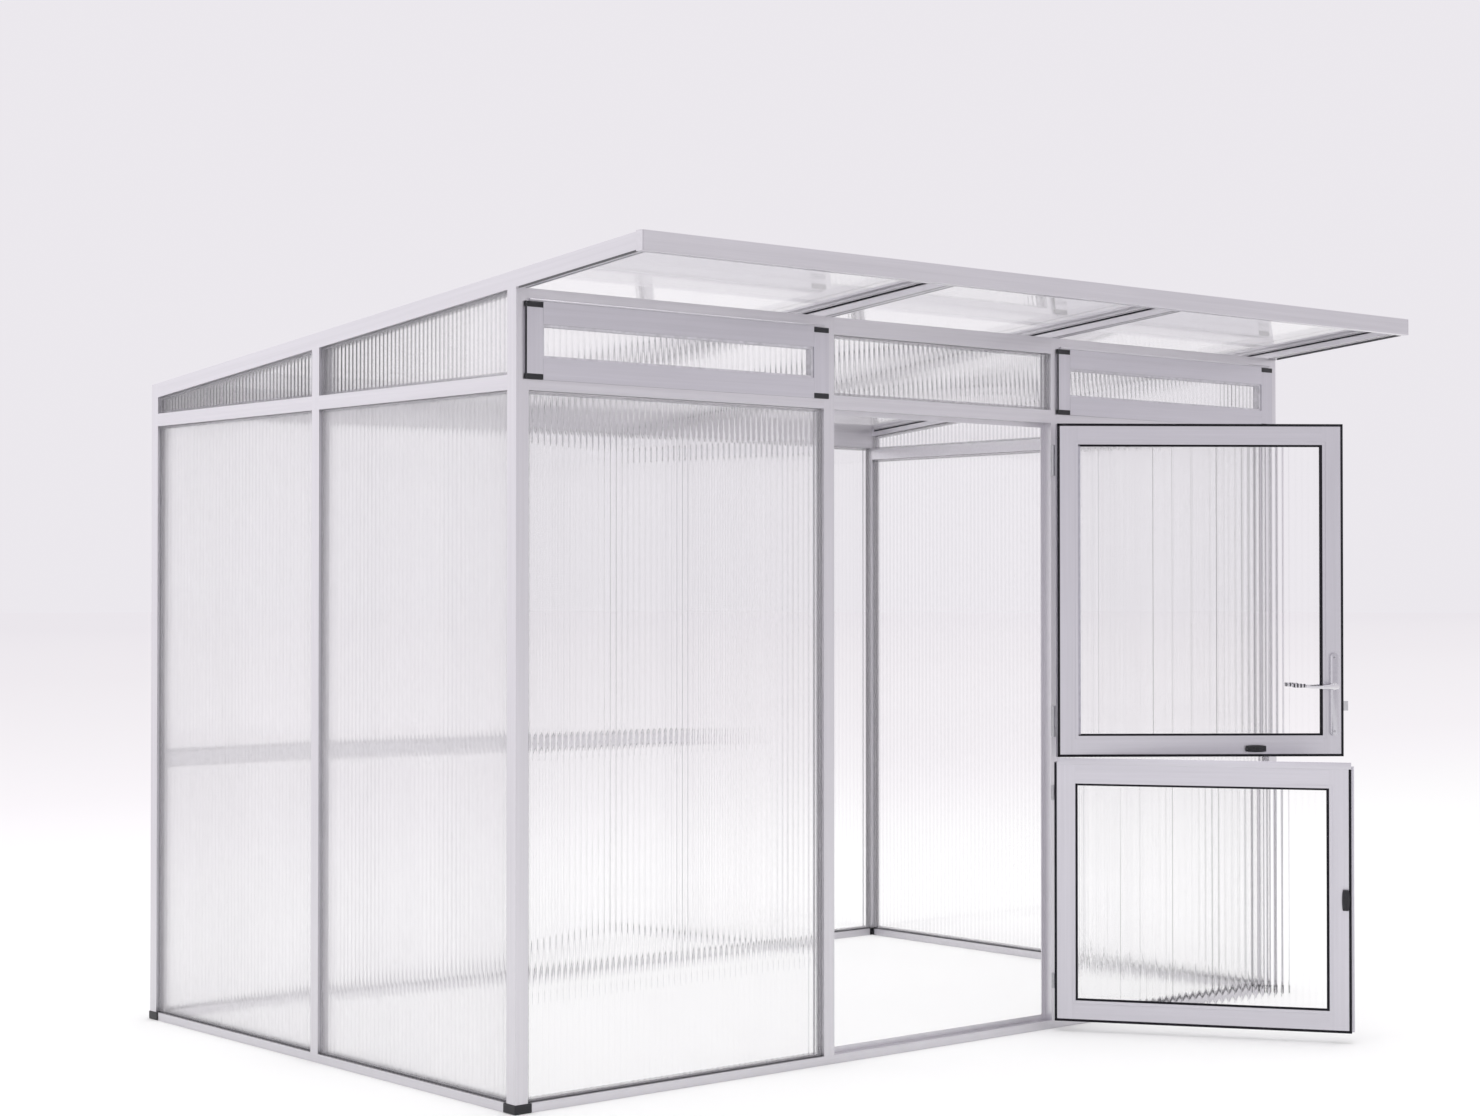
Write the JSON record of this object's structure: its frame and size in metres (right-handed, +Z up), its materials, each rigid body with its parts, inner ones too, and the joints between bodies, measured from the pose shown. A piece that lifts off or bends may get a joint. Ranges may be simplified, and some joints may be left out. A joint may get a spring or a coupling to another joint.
{
  "type": "lean-to greenhouse",
  "caption": "Lean-to greenhouse with a sloping twin-wall roof that overhangs the front, a split side-hung door and top-hung vents in a box-section aluminium frame",
  "frame": {"origin": "middle of the door sill's underside, on the ground", "axes": "+X to the right along the front, +Y in towards the low back wall, +Z up"},
  "size_m": [3.167, 2.771, 2.2395],
  "materials": {
    "aluminium": "mill aluminium, finely brushed along each bar",
    "leaf_aluminium": "satin aluminium of the door leaves and vents",
    "bright_aluminium": "bright satin",
    "twin_wall": "frosted twin-wall sheet with upright ribs",
    "black_rubber": "matt glazing rubber",
    "black_plastic": "moulded black plastic",
    "chrome": "polished",
    "steel": "zinc-plated steel",
    "grip_plastic": "dark ribbed grip"
  },
  "bodies": {
    "building": {"front_corner_posts": "aluminium", "back_corner_posts": "aluminium", "door_posts": "aluminium", "wall_mid_posts": "aluminium", "front_base_rails": "aluminium", "threshold": "aluminium", "wall_base_rails": "aluminium", "front_mid_rails": "aluminium", "front_top_rails": "aluminium", "wall_mid_rails": "aluminium", "back_beam": "aluminium", "barges": "aluminium", "rafters": "aluminium", "fascia": "aluminium", "door_stops": "aluminium", "vent_hinge_channels": "aluminium", "corner_feet": "black_plastic", "roof_sheets": "twin_wall", "fascia_end_caps": "bright_aluminium", "wall_gaskets": "black_rubber", "front_sheets": "twin_wall", "side_sheets": "twin_wall", "back_sheets": "twin_wall", "strike_plate": "steel", "hinge_post_plates": "bright_aluminium", "hinge_post_screws": "steel"},
    "upper_leaf": {"upper_leaf_stiles": "leaf_aluminium", "upper_leaf_rails": "leaf_aluminium", "upper_leaf_sheet": "twin_wall", "upper_leaf_seals": "black_rubber", "lock_case": "steel", "handle_cover_plates": "bright_aluminium", "upper_hinge_leaf_plates": "bright_aluminium", "upper_hinge_pins": "steel", "upper_hinge_screws": "steel", "upper_button_pivot": "black_plastic"},
    "lever": {"lever_handle": "chrome", "lever_grips": "grip_plastic"},
    "bolt": {"latch_bolt": "chrome"},
    "upper_button": {"upper_turn_button": "black_plastic"},
    "lower_leaf": {"lower_leaf_stiles": "leaf_aluminium", "lower_leaf_rails": "leaf_aluminium", "lower_leaf_sheet": "twin_wall", "lower_leaf_seals": "black_rubber", "meeting_strip": "leaf_aluminium", "lower_hinge_leaf_plates": "bright_aluminium", "lower_hinge_pins": "steel", "lower_hinge_screws": "steel", "lower_button_pivot": "black_plastic"},
    "lower_button": {"lower_turn_button": "black_plastic"},
    "left_vent": {"left_vent_stiles": "leaf_aluminium", "left_vent_rails": "leaf_aluminium", "left_vent_caps": "black_plastic", "left_vent_sheet": "twin_wall", "left_vent_seal": "black_rubber"},
    "right_vent": {"right_vent_stiles": "leaf_aluminium", "right_vent_rails": "leaf_aluminium", "right_vent_caps": "black_plastic", "right_vent_sheet": "twin_wall", "right_vent_seal": "black_rubber"}
  },
  "joints": [
    {"name": "upper_leaf_swing", "type": "hinge", "parent": "building", "child": "upper_leaf", "pos_m": [0.4585, -0.028, 1.36], "axis": [0, 0, 1], "range_deg": [-141.8, 28.2]},
    {"name": "lower_leaf_swing", "type": "hinge", "parent": "building", "child": "lower_leaf", "pos_m": [0.4585, -0.028, 0.44], "axis": [0, 0, 1], "range_deg": [-124.1, 45.9]},
    {"name": "lever_turn", "type": "hinge", "parent": "upper_leaf", "child": "lever", "pos_m": [1.13061, -0.58235, 1.062], "axis": [-0.6184, -0.7859, 0], "range_deg": [0, 40], "stiffness_Nm_per_rad": 1.2, "springref_deg": -28.65},
    {"name": "bolt_slide", "type": "slide", "parent": "upper_leaf", "child": "bolt", "axis": [-0.7859, 0.6184, 0], "range_m": [0, 0.015]},
    {"name": "upper_button_turn", "type": "hinge", "parent": "upper_leaf", "child": "upper_button", "pos_m": [0.92183, -0.44987, 0.869], "axis": [-0.6184, -0.7859, 0], "range_deg": [0, 90]},
    {"name": "lower_button_turn", "type": "hinge", "parent": "lower_leaf", "child": "lower_button", "pos_m": [0.9174, -0.78606, 0.43], "axis": [-0.8281, -0.5606, 0], "range_deg": [0, 90]},
    {"name": "left_vent_tilt", "type": "hinge", "parent": "building", "child": "left_vent", "pos_m": [-1.0195, -0.0235, 2.117], "axis": [-1, 0, 0], "range_deg": [0, 45]},
    {"name": "right_vent_tilt", "type": "hinge", "parent": "building", "child": "right_vent", "pos_m": [1.0195, -0.0235, 2.117], "axis": [-1, 0, 0], "range_deg": [0, 45]}
  ],
  "couplings": [
    {"joint": "bolt_slide", "follows": "lever_turn", "m_per_rad": 0.0214}
  ]
}
